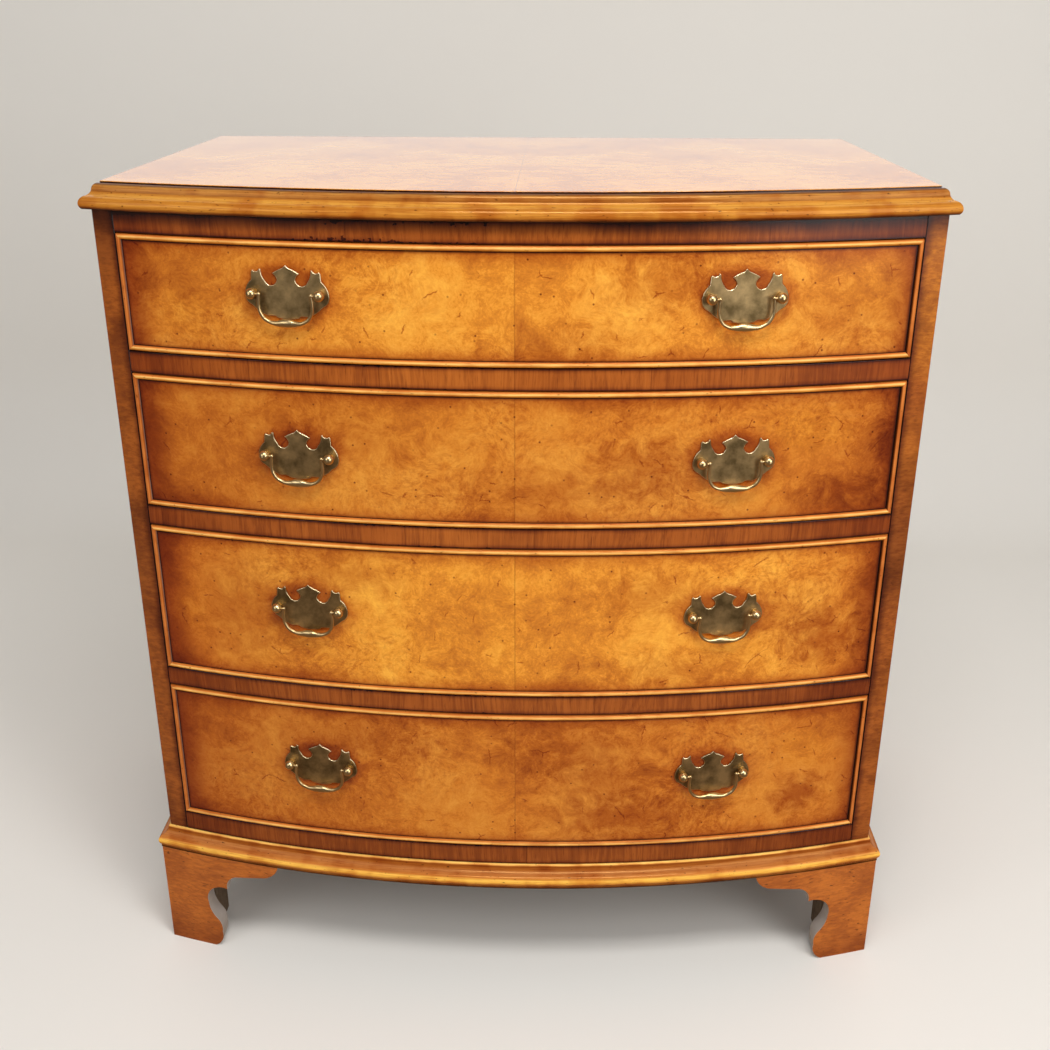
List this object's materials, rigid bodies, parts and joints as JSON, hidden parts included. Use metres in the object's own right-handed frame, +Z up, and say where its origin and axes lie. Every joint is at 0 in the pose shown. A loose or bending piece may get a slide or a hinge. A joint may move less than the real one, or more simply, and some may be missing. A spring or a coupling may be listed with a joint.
{
  "type": "bow front chest of drawers",
  "caption": "Walnut bow front chest with graduated cockbeaded drawers, swan-neck bail handles, moulded top and base, and scroll-cut bracket feet.",
  "frame": {"origin": "on the floor, below the middle of the chest's bounding box", "axes": "+X to the chest's right as seen from the front, +Y to the back, +Z up"},
  "size_m": [0.7642, 0.4872, 0.8087],
  "materials": {
    "burr_walnut": "burr walnut veneer, waxed polish",
    "walnut": "walnut, waxed polish",
    "carcass_timber": "bare softwood and plywood",
    "drawer_lining": "bare planed hardwood",
    "antique_brass": "dark antique patina with bright worn edges",
    "steel": "dull zinc plate"
  },
  "bodies": {
    "carcass": {"top_panel": "burr_walnut", "top_moulding_front": "walnut", "top_moulding_left": "walnut", "top_moulding_right": "walnut", "side_left": "walnut", "side_right": "walnut", "stile_left": "walnut", "stile_right": "walnut", "back_panel": "carcass_timber", "back_panel_screws": "steel", "bottom_board": "carcass_timber", "top_rail": "walnut", "drawer_rail_1": "walnut", "drawer_rail_2": "walnut", "drawer_rail_3": "walnut", "bottom_rail": "walnut", "drawer_runners": "carcass_timber", "drawer_stops": "carcass_timber", "base_moulding_front": "walnut", "base_moulding_left": "walnut", "base_moulding_right": "walnut", "base_frame_back": "carcass_timber", "front_foot_left": "walnut", "front_foot_right": "walnut", "rear_foot_left": "walnut", "rear_foot_right": "walnut", "foot_glue_blocks": "carcass_timber"},
    "drawer_1": {"drawer_front_1": "burr_walnut", "cockbeads_1": "walnut", "drawer_box_1": "drawer_lining", "drawer_bottom_1": "drawer_lining", "handle_plates_1": "antique_brass", "handle_posts_1": "antique_brass"},
    "handle_1_left": {"bail_1_left": "antique_brass"},
    "handle_1_right": {"bail_1_right": "antique_brass"},
    "drawer_2": {"drawer_front_2": "burr_walnut", "cockbeads_2": "walnut", "drawer_box_2": "drawer_lining", "drawer_bottom_2": "drawer_lining", "handle_plates_2": "antique_brass", "handle_posts_2": "antique_brass"},
    "handle_2_left": {"bail_2_left": "antique_brass"},
    "handle_2_right": {"bail_2_right": "antique_brass"},
    "drawer_3": {"drawer_front_3": "burr_walnut", "cockbeads_3": "walnut", "drawer_box_3": "drawer_lining", "drawer_bottom_3": "drawer_lining", "handle_plates_3": "antique_brass", "handle_posts_3": "antique_brass"},
    "handle_3_left": {"bail_3_left": "antique_brass"},
    "handle_3_right": {"bail_3_right": "antique_brass"},
    "drawer_4": {"drawer_front_4": "burr_walnut", "cockbeads_4": "walnut", "drawer_box_4": "drawer_lining", "drawer_bottom_4": "drawer_lining", "handle_plates_4": "antique_brass", "handle_posts_4": "antique_brass"},
    "handle_4_left": {"bail_4_left": "antique_brass"},
    "handle_4_right": {"bail_4_right": "antique_brass"}
  },
  "joints": [
    {"name": "drawer_1_slide", "type": "slide", "parent": "carcass", "child": "drawer_1", "axis": [0, -1, 0], "range_m": [0, 0.3]},
    {"name": "bail_1_left_swing", "type": "hinge", "parent": "drawer_1", "child": "handle_1_left", "pos_m": [-0.19607, -0.22333, 0.7216], "axis": [-0.9882, 0.1533, 0], "range_deg": [-4, 165]},
    {"name": "bail_1_right_swing", "type": "hinge", "parent": "drawer_1", "child": "handle_1_right", "pos_m": [0.19607, -0.22333, 0.7216], "axis": [-0.9882, -0.1533, 0], "range_deg": [-4, 165]},
    {"name": "drawer_2_slide", "type": "slide", "parent": "carcass", "child": "drawer_2", "axis": [0, -1, 0], "range_m": [0, 0.3]},
    {"name": "bail_2_left_swing", "type": "hinge", "parent": "drawer_2", "child": "handle_2_left", "pos_m": [-0.19607, -0.22333, 0.57525], "axis": [-0.9882, 0.1533, 0], "range_deg": [-4, 165]},
    {"name": "bail_2_right_swing", "type": "hinge", "parent": "drawer_2", "child": "handle_2_right", "pos_m": [0.19607, -0.22333, 0.57525], "axis": [-0.9882, -0.1533, 0], "range_deg": [-4, 165]},
    {"name": "drawer_3_slide", "type": "slide", "parent": "carcass", "child": "drawer_3", "axis": [0, -1, 0], "range_m": [0, 0.3]},
    {"name": "bail_3_left_swing", "type": "hinge", "parent": "drawer_3", "child": "handle_3_left", "pos_m": [-0.19607, -0.22333, 0.42255], "axis": [-0.9882, 0.1533, 0], "range_deg": [-4, 165]},
    {"name": "bail_3_right_swing", "type": "hinge", "parent": "drawer_3", "child": "handle_3_right", "pos_m": [0.19607, -0.22333, 0.42255], "axis": [-0.9882, -0.1533, 0], "range_deg": [-4, 165]},
    {"name": "drawer_4_slide", "type": "slide", "parent": "carcass", "child": "drawer_4", "axis": [0, -1, 0], "range_m": [0, 0.3]},
    {"name": "bail_4_left_swing", "type": "hinge", "parent": "drawer_4", "child": "handle_4_left", "pos_m": [-0.19607, -0.22333, 0.24755], "axis": [-0.9882, 0.1533, 0], "range_deg": [-4, 165]},
    {"name": "bail_4_right_swing", "type": "hinge", "parent": "drawer_4", "child": "handle_4_right", "pos_m": [0.19607, -0.22333, 0.24755], "axis": [-0.9882, -0.1533, 0], "range_deg": [-4, 165]}
  ]
}
